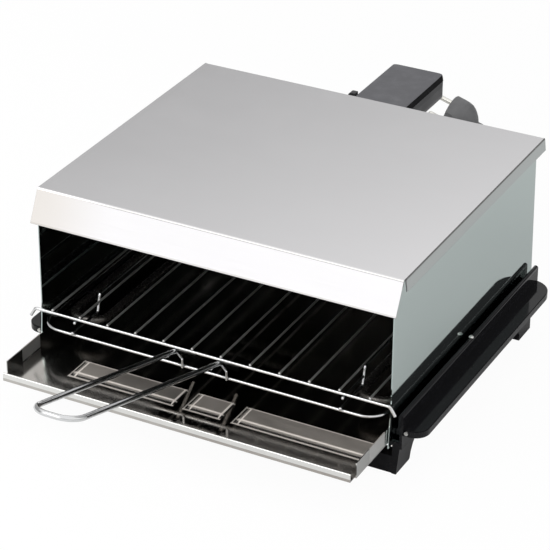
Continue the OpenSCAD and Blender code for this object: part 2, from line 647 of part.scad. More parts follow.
module box_screws() {
  color("silver") placed() for (x = [-20, 20])
    translate([box_x + x, channel_y1 + 6, box_z0 - 4.5]) rotate([-90, 0, 0]) {
    cylinder(d = 5.6, h = 1.8);
    translate([0, 0, -6 + 2 * touch]) cylinder(d = 3, h = 6.5);
  }
}
module lead_sleeve() {
  color(plastic) placed() translate([box_x, sleeve_y, box_z0]) rotate([180, 0, 0]) difference() {
    union() {
      translate([0, 0, -4]) cylinder(d = lead_d + 3, h = 5);
      translate([0, 0, touch]) cylinder(d = lead_d + 6, h = 2.4);
      translate([0, 0, 2]) cylinder(d1 = lead_d + 5, d2 = lead_d + 1.6, h = sleeve_l - 2);
    }
    translate([0, 0, -6]) cylinder(d = lead_d, h = sleeve_l + 8);
  }
}

// Lead, coil and plug
// A smooth curve through the route's points, then a tube swept along it.
function spline(p, k) = [for (i = [0:len(p) - 2], j = [0:k - 1]) let (t = j / k,
  a = p[max(i - 1, 0)], b = p[i], c = p[i + 1], d = p[min(i + 2, len(p) - 1)])
  0.5 * (2 * b + (c - a) * t + (2 * a - 5 * b + 4 * c - d) * t * t + (3 * b - a - 3 * c + d) * t * t * t),
  p[len(p) - 1]];
function along(q, i) = let (v = q[min(i + 1, len(q) - 1)] - q[max(i - 1, 0)]) v / norm(v);
function frames(q, i, u) = let (t = along(q, i), w = u - (u * t) * t, n = w / norm(w))
  i == len(q) - 1 ? [n] : concat([n], frames(q, i + 1, n));
module tube(q, d, sides) {
  n = frames(q, 0, [0.31, 0.17, 0.93]);
  rings = [for (i = [0:len(q) - 1], k = [0:sides - 1]) let (a = 360 * k / sides, b = cross(along(q, i), n[i]))
    q[i] + d / 2 * (cos(a) * n[i] + sin(a) * b)];
  last = (len(q) - 1) * sides;
  walls = [for (i = [0:len(q) - 2], k = [0:sides - 1], h = [0, 1]) let (a = i * sides + k,
    b = i * sides + (k + 1) % sides) h == 0 ? [a, b, b + sides] : [a, b + sides, a + sides]];
  caps = [for (k = [1:sides - 2]) each [[0, k + 1, k], [last, last + k, last + k + 1]]];
  polyhedron(rings, concat(walls, caps), convexity = 8);
}
function length_of(q, i = 0) = i >= len(q) - 1 ? 0 : norm(q[i + 1] - q[i]) + length_of(q, i + 1);
plug_tilt = 16.5;
// the plug's side line, as radius and distance behind the face
plug_side = [[plug_d / 2 - 0.8, 0], [plug_d / 2, 0.8], [plug_d / 2, 0.29 * plug_l], [plug_d / 2 - 0.3, 0.45 * plug_l],
  [plug_d / 2 - 1.3, 0.6 * plug_l], [plug_d / 2 - 3.2, 0.71 * plug_l], [plug_d / 2 - 5.7, 0.81 * plug_l],
  [plug_d / 2 - 9.3, 0.92 * plug_l], [lead_d / 2 + 2.2, plug_l]];
plug_z = max([for (p = plug_side) p.x * cos(plug_tilt) + p.y * sin(plug_tilt)]) + 0.05;
face_c = [-54.8, 568.3, plug_z];
plug_axis = [cos(plug_tilt), 0, -sin(plug_tilt)];
plug_neck = 7;
plug_back = face_c + plug_axis * (plug_l + plug_neck);
exit_p = [box_x, sleeve_y, box_z0 - sleeve_l - 0.1];
lead_z = lead_d / 2 + 0.05;
layer = lead_d + 0.6;                        // distance between the coil's layers
pitch = lead_d + 0.7;                        // distance between its loops
coil_turns = 4;
coil_c = [3 - coil_r, 415];
coil_rings = 24;
function coil_radius(s) = coil_r - pitch * (s < coil_turns / 2 ? s : coil_turns - s);
function coil_climb(s) = s < coil_turns / 2 - 0.25 ? 0 : s > coil_turns / 2 + 0.25 ? 1
  : (1 - cos(360 * (s - coil_turns / 2 + 0.25))) / 2;
function coil_point(s) = [coil_c.x + coil_radius(s) * cos(360 * s), coil_c.y + coil_radius(s) * sin(360 * s),
  lead_z + layer * coil_climb(s)];
coil_path = concat([coil_point(0) - [0, lead_d + 1, 0]],
  [for (i = [0:coil_rings * coil_turns]) coil_point(i / coil_rings)], [coil_point(coil_turns) + [0, lead_d + 1, 0]]);
coil_start = coil_path[0];
coil_end = coil_path[len(coil_path) - 1];
gap_list = [for (i = [0:len(coil_path) - 1], j = [i + 8:1:len(coil_path) - 1]) norm(coil_path[i] - coil_path[j])];
lead_route = [exit_p, [3, 345, 96], [3, 345, 78], [3, 345, 60], [3, 345, 42], [3, 347, 28], [3, 353, 16],
  [3, 363, 8], [3, 376, 4], [3, 390, lead_z], coil_start - [0, 0.1, 0]];
end_route = [coil_end + [0, 0.1, 0], [4, 436, 10], [7, 450, 8], [11, 466, 5], [15, 484, lead_z], [19, 506, lead_z],
  [21, 526, lead_z], [20, 542, lead_z], [14, 556, 4.5], [4, 565, 6],
  plug_back + plug_axis * 10, plug_back + plug_axis * 0.1];
module power_lead() { color(plastic) placed() tube(spline(lead_route, 2), lead_d, 8); }
module lead_coil() { color(plastic) placed() tube(coil_path, lead_d, 6); }
module lead_end() { color(plastic) placed() tube(spline(end_route, 2), lead_d, 8); }
echo(lead_length = length_of(spline(lead_route, 4)) + length_of(coil_path) + length_of(spline(end_route, 4)));
echo(coil_least_gap = min(gap_list) - lead_d);

pin_turn = -20;                              // the pins' line is turned this far from upright
module plug_place() { translate(face_c) rotate([0, 90 + plug_tilt, 0]) children(); }
module pin_places() { for (s = [-1, 1]) rotate([0, 0, pin_turn]) translate([s * pin_pitch / 2, 0, 0]) children(); }
module plug_body() {
  color(plastic) placed() plug_place() difference() {
    union() {
      rotate_extrude() polygon(concat([[0, 0]], plug_side, [[0, plug_l]]));
      cylinder(d = lead_d + 3.4, h = plug_l + plug_neck - 2);
      translate([0, 0, plug_l + plug_neck - 2 - eps]) cylinder(d1 = lead_d + 3.4, d2 = lead_d + 1.4, h = 2);
    }
    rotate([0, 0, pin_turn]) for (s = [-1, 1]) translate([-2.2, s * plug_d / 2 - 1.5, -1]) cube([4.4, 3, 9]);
    translate([0, 0, -1]) pin_places() cylinder(d = pin_d + 0.1, h = 9);
  }
}
module plug_pins() {
  color("silver") placed() plug_place() pin_places() {
    translate([0, 0, -pin_l + 1.6]) cylinder(d = pin_d, h = pin_l + 6);
    translate([0, 0, -pin_l]) cylinder(d1 = pin_d - 2, d2 = pin_d, h = 1.6, $fn = 24);
  }
}

top_cover();
ceiling_panel();
left_wall();
right_wall();
rear_wall();
cover_screws();
left_wing();
right_wing();
wing_screws();
wing_studs();
front_bar();
rear_bar();
left_rack_rail();
right_rack_rail();
left_tray_rail();
right_tray_rail();
lower_heater();
upper_heater();
lower_clips();
upper_clips();
heater_bushes();
heater_pins();
drip_tray();
rack_frame();
front_wire();
rear_wire();
rack_bars();
rack_links();
left_guide();
right_guide();
rack_handle();
handle_struts();
wire_channel();
terminal_block();
box_flange();
box_base();
box_lid();
box_screws();
lead_sleeve();
power_lead();
lead_coil();
lead_end();
plug_body();
plug_pins();
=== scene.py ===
import math

import bmesh
import bpy
from mathutils import Matrix, Vector


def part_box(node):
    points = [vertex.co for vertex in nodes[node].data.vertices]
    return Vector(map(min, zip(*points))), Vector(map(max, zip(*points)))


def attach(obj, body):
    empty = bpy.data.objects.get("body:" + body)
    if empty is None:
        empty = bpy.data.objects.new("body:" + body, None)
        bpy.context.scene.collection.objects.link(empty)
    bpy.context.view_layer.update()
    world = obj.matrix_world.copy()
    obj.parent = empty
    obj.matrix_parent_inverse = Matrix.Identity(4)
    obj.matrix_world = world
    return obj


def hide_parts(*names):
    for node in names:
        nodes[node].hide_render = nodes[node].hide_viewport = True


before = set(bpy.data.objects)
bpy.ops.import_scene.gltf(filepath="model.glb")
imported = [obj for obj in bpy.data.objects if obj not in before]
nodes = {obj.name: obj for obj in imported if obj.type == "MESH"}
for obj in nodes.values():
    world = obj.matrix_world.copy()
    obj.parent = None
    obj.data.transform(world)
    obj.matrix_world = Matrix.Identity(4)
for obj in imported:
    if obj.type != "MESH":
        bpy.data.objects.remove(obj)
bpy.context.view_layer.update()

scene = bpy.context.scene
# The source's y = 0 is the front edge of the hood's top plate, whose rear edge is at 270.6.
SHIFT = 270.6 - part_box("top_cover")[1].y * 1000


def at(x, y, z):
    """A point of the source, in millimetres, in the row frame in metres."""
    return Vector((x / 1000, (y - SHIFT) / 1000, z / 1000))


# Camera and lead come first.
def make_camera():
    lens = bpy.data.cameras.new("photo_camera")
    lens.sensor_width = 36
    lens.lens = 157.65
    lens.clip_end = 30
    camera = bpy.data.objects.new("photo_camera", lens)
    scene.collection.objects.link(camera)
    place = at(800.0, -1407.5, 1041.5)
    camera.location = place
    camera.rotation_euler = (at(52.6, 0, 148.0) - place).to_track_quat("-Z", "Y").to_euler()
    scene.camera = camera


make_camera()

LEAD_D = 6.6
BOX_X = 3
SLEEVE_Y = 345
BOX_Z0 = 140.5
LEAD_Z = LEAD_D / 2 + 0.05
PLUG_TILT = math.radians(16.5)
plug_side = [(17.7, 0), (18.5, 0.8), (18.5, 8.7), (18.2, 13.5), (17.2, 18), (15.3, 21.3), (12.8, 24.3), (9.2, 27.6), (5.5, 30)]
plug_z = max(r * math.cos(PLUG_TILT) + h * math.sin(PLUG_TILT) for r, h in plug_side) + 0.05
plug_face = Vector((-54.8, 568.3, plug_z))
plug_axis = Vector((math.cos(PLUG_TILT), 0, -math.sin(PLUG_TILT)))
plug_back = plug_face + plug_axis * 37


def coil_point(s):
    radius = 46 - (LEAD_D + 0.7) * (s if s < 2 else 4 - s)
    climb = 0 if s < 1.75 else 1 if s > 2.25 else (1 - math.cos(2 * math.pi * (s - 1.75))) / 2
    turn = 2 * math.pi * s
    return Vector((-43 + radius * math.cos(turn), 415 + radius * math.sin(turn), LEAD_Z + 7.2 * climb))


def lead_points():
    step = Vector((0, LEAD_D + 1, 0))
    down = [(3, 345, 114.4), (3, 345, 96), (3, 345, 78), (3, 345, 60), (3, 345, 42), (3, 347, 28), (3, 353, 16),
            (3, 363, 8), (3, 376, 4), (3, 390, LEAD_Z)]
    coil = [coil_point(i / 24) for i in range(97)]
    end = [(4, 436, 10), (7, 450, 8), (11, 466, 5), (15, 484, LEAD_Z), (19, 506, LEAD_Z), (21, 526, LEAD_Z),
           (20, 542, LEAD_Z), (14, 556, 4.5), (4, 565, 6)]
    points = [Vector(p) for p in down] + [coil[0] - step] + coil + [coil[-1] + step] + [Vector(p) for p in end]
    return [at(*p) for p in points + [plug_back + plug_axis * 10, plug_back + plug_axis * 0.1]]


def smooth_curve(name, points, radius):
    curve = bpy.data.curves.new(name, "CURVE")
    curve.dimensions = "3D"
    curve.bevel_depth = 1
    curve.bevel_resolution = 6
    curve.resolution_u = 6
    curve.use_fill_caps = True
    spline = curve.splines.new("BEZIER")
    spline.bezier_points.add(len(points) - 1)
    for i, p in enumerate(points):
        before = points[max(i - 1, 0)]
        after = points[min(i + 1, len(points) - 1)]
        way = (after - before).normalized()
        knot = spline.bezier_points[i]
        knot.handle_left_type = knot.handle_right_type = "FREE"
        knot.co = p
        knot.radius = radius
        knot.handle_left = p - way * (p - before).length / 3
        knot.handle_right = p + way * (after - p).length / 3
    made = bpy.data.objects.new(name, curve)
    scene.collection.objects.link(made)
    return made


lead = smooth_curve("mains_lead", lead_points(), LEAD_D / 2000)
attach(lead, "base")
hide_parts("power_lead", "lead_coil", "lead_end")


# The ribs pressed in the tray's floor, as the source has them
RIB_Y = (-42, -16)
RIB_X = ((-112, -15), (-7, 27), (36, 152))


# Materials
class Maker:
    """A node material on one principled shader, with its textures in object space, in metres."""

    def __init__(self, name, colour, rough, metal=0.0):
        self.material = bpy.data.materials.new(name)
        self.material.use_nodes = True
        self.tree = self.material.node_tree
        self.shader = self.tree.nodes["Principled BSDF"]
        self.shader.inputs["Base Color"].default_value = (*colour, 1)
        self.shader.inputs["Roughness"].default_value = rough
        self.shader.inputs["Metallic"].default_value = metal
        self.place = self.tree.nodes.new("ShaderNodeTexCoord").outputs["Object"]
        self.height = None

    def link(self, a, b):
        self.tree.links.new(a, b)

    def stretched(self, scale, turn=(0, 0, 0)):
        node = self.tree.nodes.new("ShaderNodeMapping")
        node.inputs["Scale"].default_value = scale
        node.inputs["Rotation"].default_value = turn
        self.link(self.place, node.inputs["Vector"])
        return node.outputs["Vector"]

    def noise(self, scale, detail=3.0, rough=0.5, stretch=None, turn=(0, 0, 0), distort=0.0):
        node = self.tree.nodes.new("ShaderNodeTexNoise")
        node.inputs["Scale"].default_value = scale
        node.inputs["Detail"].default_value = detail
        node.inputs["Roughness"].default_value = rough
        node.inputs["Distortion"].default_value = distort
        self.link(self.stretched(stretch, turn) if stretch else self.place, node.inputs["Vector"])
        return node.outputs["Fac"]

    def specks(self, scale, size):
        """Small round specks, 1 at each speck and 0 between them."""
        node = self.tree.nodes.new("ShaderNodeTexVoronoi")
        node.inputs["Scale"].default_value = scale
        self.link(self.place, node.inputs["Vector"])
        return self.ramp(node.outputs["Distance"], size * 0.5, size, 1, 0)

    def ramp(self, value, a, b, c, d):
        node = self.tree.nodes.new("ShaderNodeMapRange")
        node.interpolation_type = "SMOOTHSTEP"
        for name, number in (("From Min", a), ("From Max", b), ("To Min", c), ("To Max", d)):
            node.inputs[name].default_value = number
        self.link(value, node.inputs["Value"])
        return node.outputs["Result"]

    def math(self, how, a, b):
        node = self.tree.nodes.new("ShaderNodeMath")
        node.operation = how
        for socket, value in zip(node.inputs, (a, b)):
            if isinstance(value, (int, float)):
                socket.default_value = value
            else:
                self.link(value, socket)
        return node.outputs["Value"]

    def axis(self, name):
        node = self.tree.nodes.new("ShaderNodeSeparateXYZ")
        self.link(self.place, node.inputs["Vector"])
        return node.outputs[name]

    def tint(self, colour, share):
        """Mixes colour into the base colour where share is 1."""
        node = self.tree.nodes.new("ShaderNodeMix")
        node.data_type = "RGBA"
        base = self.shader.inputs["Base Color"]
        sockets = [s for s in node.inputs if s.type == "RGBA"]
        if base.is_linked:
            self.link(base.links[0].from_socket, sockets[0])
        else:
            sockets[0].default_value = base.default_value
        sockets[1].default_value = (*colour, 1)
        self.link(share, node.inputs["Factor"])
        self.link([s for s in node.outputs if s.type == "RGBA"][0], base)

    def roughen(self, change):
        """Adds change to the roughness."""
        socket = self.shader.inputs["Roughness"]
        start = socket.links[0].from_socket if socket.is_linked else socket.default_value
        self.link(self.math("ADD", start, change), socket)

    def band(self, name, a, b, soft):
        """1 between a and b along an axis, in metres, 0 elsewhere."""
        value = self.axis(name)
        return self.math("MULTIPLY", self.ramp(value, a - soft, a + soft, 0, 1), self.ramp(value, b - soft, b + soft, 1, 0))

    def film(self, share):
        """Less metal where share is 1, as under a thin baked film."""
        self.link(self.math("SUBTRACT", 1, share), self.shader.inputs["Metallic"])

    def side(self, name):
        """1 on faces that point along an axis, either way, 0 on the others."""
        node = self.tree.nodes.new("ShaderNodeSeparateXYZ")
        self.link(self.tree.nodes.new("ShaderNodeNewGeometry").outputs["Normal"], node.inputs[0])
        return self.ramp(self.math("ABSOLUTE", node.outputs[name], 0), 0.4, 0.6, 0, 1)

    def facing(self, name, a, b):
        """The normal's part along an axis: 0 at a and 1 at b."""
        node = self.tree.nodes.new("ShaderNodeSeparateXYZ")
        self.link(self.tree.nodes.new("ShaderNodeNewGeometry").outputs["Normal"], node.inputs[0])
        return self.ramp(node.outputs[name], min(a, b), max(a, b), 0 if a < b else 1, 1 if a < b else 0)

    def bump(self, value, depth):
        """Raises the surface by depth metres where value is 1."""
        node = self.tree.nodes.new("ShaderNodeBump")
        node.inputs["Strength"].default_value = 1
        node.inputs["Distance"].default_value = depth
        self.link(value, node.inputs["Height"])
        normal = self.shader.inputs["Normal"]
        if normal.is_linked:
            self.link(normal.links[0].from_socket, node.inputs["Normal"])
        self.link(node.outputs["Normal"], normal)


def sheet_steel(name, colour, rough, grain, streak, dull, wave):
    """Polished sheet: fine grain along one axis, hairline scratches, smudges and a slight waviness."""
    m = Maker(name, colour, rough, 1)
    fine = m.noise(1, 5, 0.55, grain)
    m.tint(tuple(c * 0.8 for c in colour), m.ramp(fine, 0.35, 0.75, 0, streak))
    scratch = m.noise(1, 2, 0.5, (70, 2600, 900), (0, 0, math.radians(24)))
    other = m.noise(1, 2, 0.5, (1900, 60, 900), (0, 0, math.radians(-17)))
    marks = m.math("ADD", m.ramp(scratch, 0.68, 0.76, 0, 1), m.ramp(other, 0.69, 0.77, 0, 1))
    m.tint(tuple(min(c * 1.15, 1) for c in colour), m.math("MULTIPLY", marks, streak))
    smudge = m.noise(16, 5, 0.62, distort=0.8)
    m.roughen(m.ramp(smudge, 0.4, 0.7, 0, dull))
    m.roughen(m.math("MULTIPLY", marks, dull * 0.5))
    m.bump(m.noise(7, 2, 0.4), wave)
    return m


def plastic(name, colour, rough, peel_scale, peel, dust=0.0, flow=None):
    """Moulded plastic: surface grain, roughness patches and a little dust."""
    m = Maker(name, colour, rough)
    if flow:
        m.tint(tuple(c * 1.9 + 0.004 for c in colour), m.ramp(m.noise(1, 4, 0.6, flow, distort=1.2), 0.45, 0.8, 0, 0.6))
    else:
        m.tint(tuple(c * 1.3 for c in colour), m.ramp(m.noise(60, 5, 0.6), 0.4, 0.75, 0, 0.7))
    m.roughen(m.ramp(m.noise(34, 4, 0.6, distort=0.5), 0.35, 0.75, -0.03, 0.09))
    if dust:
        m.tint((0.35, 0.34, 0.32), m.math("MULTIPLY", m.specks(420, 0.09), dust))
    m.bump(m.noise(peel_scale, 3, 0.5), peel)
    return m


def tray_steel():
    """The tray's sheet, heat-tinted brown and duller on its ribs, with painted highlights along the ribs' edges, a
    paler colour painted on its front faces as light, and painted shade on its sideways faces.
    """
    m = sheet_steel("tray_steel", (0.58, 0.575, 0.555), 0.06, (24, 1400, 1400), 0.15, 0.04, 0.000008)
    # Painted light: faces turned to the front are given a paler colour, as lit from the front.
    m.tint((0.70, 0.70, 0.68), m.facing("Y", -0.6, -0.8))
    x, y, z = m.axis("X"), m.axis("Y"), m.axis("Z")
    low = at(0, RIB_Y[0], 0).y
    high = at(0, RIB_Y[1], 0).y

    def inside(value, a, b, soft):
        up = m.ramp(value, a / 1000 - soft, a / 1000 + soft, 0, 1)
        down = m.ramp(value, b / 1000 - soft, b / 1000 + soft, 1, 0)
        return m.math("MULTIPLY", up, down)

    on_top = m.ramp(z, 0.0344, 0.0349, 0, 1)
    in_row = m.math("MULTIPLY", on_top, inside(y, low * 1000, high * 1000, 0.0004))
    m.tint((0.34, 0.315, 0.29), m.math("MULTIPLY", m.ramp(z, 0.0358, 0.0356, 0, 1), m.ramp(m.noise(9, 4, 0.6), 0.3, 0.7, 0.6, 0.95)))
    m.tint((0.42, 0.385, 0.35), m.math("MULTIPLY", in_row, 0.8))
    m.roughen(m.math("MULTIPLY", in_row, 0.26))
    # Painted highlights: pale lines along the ribs' folds and across their ends stand for light caught on the bends.
    # These lines are also made rougher and less metal.
    painted_highlight_lines = 0
    for line in (RIB_Y[0], RIB_Y[0] + 6, RIB_Y[1] - 2.2):
        spot = at(0, line, 0).y * 1000
        painted_highlight_lines = m.math("MAXIMUM", painted_highlight_lines, inside(y, spot - 0.9, spot + 0.9, 0.0007))
    along = 0
    for a, b in RIB_X:
        along = m.math("MAXIMUM", along, inside(x, a, b, 0.0006))
    painted_highlight_lines = m.math("MULTIPLY", painted_highlight_lines, along)
    for a, b in RIB_X:
        for line in (a + 1, a + 6, b - 2.2):
            ends = m.math("MULTIPLY", inside(x, line - 0.7, line + 0.7, 0.0003), inside(y, low * 1000, high * 1000, 0.0004))
            painted_highlight_lines = m.math("MAXIMUM", painted_highlight_lines, ends)
    floor = m.math("MULTIPLY", painted_highlight_lines, m.math("MULTIPLY", m.ramp(z, 0.0338, 0.034, 0, 1), m.ramp(z, 0.0353, 0.0356, 1, 0)))
    # Painted highlight: the pale colour on these lines.
    m.tint((0.86, 0.80, 0.74), m.math("MULTIPLY", floor, 0.85))
    m.roughen(m.math("MULTIPLY", floor, 0.3))
    patchy = m.ramp(m.noise(17, 4, 0.6, distort=0.6), 0.35, 0.65, 0.16, 0.42)
    m.film(m.math("ADD", m.math("MULTIPLY", in_row, patchy), m.math("MULTIPLY", floor, 0.3)))
    # Painted shade: faces turned sideways are darker, for the shade on the tray's sides.
    m.tint((0.42, 0.42, 0.41), m.side("X"))
    wiped = m.math("SUBTRACT", 1, inside(x, -26, 44, 0.008))
    m.roughen(m.math("MULTIPLY", wiped, 0.08))
    return m


def make_materials():
    made = {}
    made["hood"] = sheet_steel("polished_hood_steel", (0.665, 0.658, 0.668), 0.13, (26, 1500, 1500), 0.12, 0.03, 0.00002)
    hood = made["hood"]
    # Painted shade: faces turned sideways, the side flanges, take the walls' darker greenish tone.
    hood.tint((0.46, 0.485, 0.48), hood.side("X"))
    low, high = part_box("top_cover")
    # Painted shade: a dark line along the fold at the top edge.
    painted_fold_shade = hood.math("MULTIPLY", hood.band("Z", high[2] - 0.0014, high[2] + 0.001, 0.0001), hood.facing("Z", 0.97, 0.86))
    hood.tint((0.14, 0.138, 0.132), hood.math("MULTIPLY", painted_fold_shade, 0.85))
    shaded = hood.math("MULTIPLY", hood.facing("Y", -0.4, -0.6), hood.ramp(hood.axis("X"), low[0] + 0.002, low[0] + 0.08, 1, 0))
    hood.tint((0.585, 0.56, 0.535), shaded)
    # Painted shade: a dark strip at the left end of the front flange.
    end = hood.math("MULTIPLY", hood.facing("Y", -0.4, -0.6), hood.band("X", low[0] - 0.001, low[0] + 0.0011, 0.0002))
    hood.tint((0.2, 0.19, 0.18), hood.math("MULTIPLY", end, 0.7))
    # Painted shade: a short slit near the front of the side flanges is painted near black.
    painted_slit_shade = hood.math("MULTIPLY", hood.side("X"), hood.band("Z", high[2] - 0.01, high[2], 0.0008))
    painted_slit_shade = hood.math("MULTIPLY", painted_slit_shade, hood.band("Y", at(0, -2, 0).y, at(0, 3.4, 0).y, 0.0005))
    hood.tint((0.02, 0.02, 0.02), painted_slit_shade)
    # Painted shadow: a darker thin line along the flanges' lower hem.
    painted_hem_shade = hood.band("Z", low[2] + 0.0009, low[2] + 0.0017, 0.0002)
    hood.tint((0.45, 0.43, 0.40), hood.math("MULTIPLY", painted_hem_shade, 0.5))
    # Painted shade and a painted greenish reflection: the side walls are a darker, greener copy of the hood's steel.
    made["wall"] = sheet_steel("side_wall_steel_shaded", (0.465, 0.535, 0.522), 0.035, (1500, 26, 1500), 0.06, 0.02, 0.000012)
    # Painted shade: the steel inside the hood is made near black for the shade within; its heat marks are real
    # discolouring.
    inner = sheet_steel("inner_steel", (0.085, 0.085, 0.085), 0.27, (30, 1300, 1300), 0.3, 0.12, 0.00003)
    heat = inner.noise(14, 4, 0.6, distort=1.5)
    inner.tint((0.07, 0.062, 0.056), inner.ramp(heat, 0.45, 0.75, 0, 0.7))
    inner.tint((0.035, 0.035, 0.05), inner.ramp(heat, 0.66, 0.85, 0, 0.5))
    # Faces turned to the back, outside that shade, keep a lighter steel.
    inner.tint((0.46, 0.47, 0.46), inner.facing("Y", 0.5, 0.6))
    made["inner"] = inner
    made["tray"] = tray_steel()
    chrome = Maker("wire_chrome", (0.57, 0.575, 0.58), 0.1, 1)
    chrome.tint((0.50, 0.49, 0.46), chrome.ramp(chrome.noise(90, 4, 0.6), 0.45, 0.8, 0, 0.6))
    chrome.roughen(chrome.ramp(chrome.noise(300, 3, 0.6), 0.4, 0.8, 0, 0.1))
    chrome.bump(chrome.noise(1200, 2, 0.5), 0.000003)
    made["wire"] = chrome
    dulled = Maker("heat_dulled_chrome", (0.50, 0.50, 0.49), 0.28, 0.8)
    dulled.tint((0.32, 0.30, 0.28), dulled.ramp(dulled.noise(70, 4, 0.6), 0.45, 0.8, 0, 0.7))
    dulled.roughen(dulled.ramp(dulled.noise(300, 3, 0.6), 0.4, 0.8, 0, 0.1))
    dulled.bump(dulled.noise(1200, 2, 0.5), 0.000003)
    made["dulled"] = dulled
    sheath = Maker("heater_sheath", (0.085, 0.08, 0.075), 0.26, 0.85)
    sheath.tint((0.085, 0.08, 0.072), sheath.ramp(sheath.noise(120, 5, 0.65), 0.4, 0.75, 0, 0.8))
    sheath.tint((0.03, 0.027, 0.03), sheath.ramp(sheath.noise(22, 3, 0.6), 0.5, 0.75, 0, 0.8))
    sheath.roughen(sheath.ramp(sheath.noise(400, 3, 0.6), 0.3, 0.8, -0.05, 0.12))
    sheath.bump(sheath.noise(1500, 3, 0.6), 0.00001)
    made["sheath"] = sheath
    made["bakelite"] = plastic("black_bakelite", (0.005, 0.005, 0.006), 0.1, 900, 0.000002, 0.2, (40, 6, 40))
    made["bakelite"].shader.inputs["Specular IOR Level"].default_value = 0.17
    made["channel"] = plastic("black_moulding", (0.016, 0.016, 0.017), 0.3, 1500, 0.00001, 0.2, (20, 20, 8))
    made["box"] = plastic("grey_box_plastic", (0.03, 0.03, 0.032), 0.4, 2600, 0.000018, 0.06)
    made["box"].shader.inputs["Specular IOR Level"].default_value = 0.3
    lid = plastic("grey_lid_plastic", (0.108, 0.108, 0.115), 0.56, 2600, 0.000022, 0.12)
    # Painted shade: the lid's sideways faces are made near black.
    edge = lid.side("X")
    lid.tint((0.004, 0.004, 0.0045), edge)
    lid.roughen(lid.math("MULTIPLY", edge, -0.35))
    lid.shader.inputs["Specular IOR Level"].default_value = 0.06
    made["lid"] = lid
    made["plug"] = plastic("plug_rubber", (0.085, 0.085, 0.088), 0.42, 2200, 0.00001, 0.1)
    made["lead"] = plastic("lead_sheath", (0.018, 0.018, 0.019), 0.45, 1600, 0.000012, 0.12)
    zinc = Maker("zinc_plate", (0.56, 0.56, 0.54), 0.32, 1)
    zinc.tint((0.38, 0.37, 0.34), zinc.ramp(zinc.noise(260, 4, 0.6), 0.45, 0.75, 0, 0.7))
    zinc.roughen(zinc.ramp(zinc.noise(500, 3, 0.6), 0.4, 0.8, -0.05, 0.15))
    zinc.bump(zinc.noise(2500, 2, 0.5), 0.000005)
    made["zinc"] = zinc
    nickel = Maker("plug_pin_nickel", (0.66, 0.65, 0.61), 0.16, 1)
    nickel.tint((0.45, 0.43, 0.38), nickel.ramp(nickel.noise(400, 4, 0.6), 0.5, 0.8, 0, 0.7))
    nickel.roughen(nickel.ramp(nickel.noise(900, 3, 0.6, (1, 1, 1)), 0.4, 0.8, 0, 0.14))
    made["nickel"] = nickel
    china = Maker("steatite", (0.72, 0.69, 0.61), 0.34)
    china.tint((0.55, 0.50, 0.42), china.ramp(china.noise(300, 5, 0.6), 0.45, 0.75, 0, 0.6))
    china.bump(china.noise(1800, 3, 0.5), 0.00001)
    made["china"] = china
    return {key: maker.material for key, maker in made.items()}


looks = make_materials()
wear = {
    "hood": ["top_cover"],
    "wall": ["left_wall", "right_wall"],
    "inner": ["ceiling_panel", "rear_wall", "left_rack_rail", "right_rack_rail", "left_tray_rail", "right_tray_rail",
              "lower_clips", "upper_clips"],
    "tray": ["drip_tray"],
    "wire": ["rack_frame", "front_wire", "rack_links", "left_guide", "right_guide", "rack_handle", "handle_struts"],
    "dulled": ["rear_wire", "rack_bars"],
    "sheath": ["lower_heater", "upper_heater"],
    "bakelite": ["left_wing", "right_wing", "front_bar", "rear_bar"],
    "channel": ["wire_channel", "lead_sleeve"],
    "box": ["box_flange", "box_base"],
    "lid": ["box_lid"],
    "plug": ["plug_body"],
    "zinc": ["cover_screws", "wing_screws", "wing_studs", "box_screws", "heater_pins"],
    "nickel": ["plug_pins"],
    "china": ["heater_bushes", "terminal_block"],
}
for look, names in wear.items():
    for name in names:
        for place in nodes[name].material_slots:
            place.material = looks[look]
lead.data.materials.append(looks["lead"])


# Soft edges, as moulded and folded parts have
for name, width in (("left_wing", 0.0006), ("right_wing", 0.0006), ("top_cover", 0.0005), ("box_lid", 0.0008)):
    weld = nodes[name].modifiers.new("weld", "WELD")
    weld.merge_threshold = 0.00001
    edge = nodes[name].modifiers.new("edge", "BEVEL")
    edge.width = width
    edge.segments = 2
    edge.limit_method = "ANGLE"
    edge.angle_limit = math.radians(40)


# Detail pieces, in mesh code
def mesh_piece(name, verts, faces, body, look, slot, smooth=True):
    mesh = bpy.data.meshes.new(name)
    mesh.from_pydata([tuple(v) for v in verts], [], faces)
    mesh.validate()
    grid = bmesh.new()
    grid.from_mesh(mesh)
    bmesh.ops.recalc_face_normals(grid, faces=grid.faces)
    grid.to_mesh(mesh)
    grid.free()
    mesh.materials.append(looks[look])
    if smooth:
        mesh.shade_smooth()
        mesh.set_sharp_from_angle(angle=math.radians(38))
    made = bpy.data.objects.new(name, mesh)
    scene.collection.objects.link(made)
    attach(made, body)
    return made


def lathe(profile, place, steps=40):
    """Vertices and faces of a solid of revolution: profile is (radius, height) from bottom to top."""
    verts, faces = [], []
    for r, h in profile:
        for k in range(steps):
            a = 2 * math.pi * k / steps
            verts.append(place @ Vector((r * math.cos(a) / 1000, r * math.sin(a) / 1000, h / 1000)))
    for i in range(len(profile) - 1):
        for k in range(steps):
            n = (k + 1) % steps
            faces.append((i * steps + k, i * steps + n, (i + 1) * steps + n, (i + 1) * steps + k))
    faces.append(tuple(reversed(range(steps))))
    faces.append(tuple(range((len(profile) - 1) * steps, len(profile) * steps)))
    return verts, faces


def joined(parts):
    verts, faces = [], []
    for v, f in parts:
        n = len(verts)
        verts += list(v)
        faces += [tuple(i + n for i in face) for face in f]
    return verts, faces


def facing(point, way, turn=0.0):
    """A placement at point whose +Z looks along way."""
    return Matrix.Translation(point) @ Vector(way).to_track_quat("Z", "Y").to_matrix().to_4x4() @ Matrix.Rotation(turn, 4, "Z")


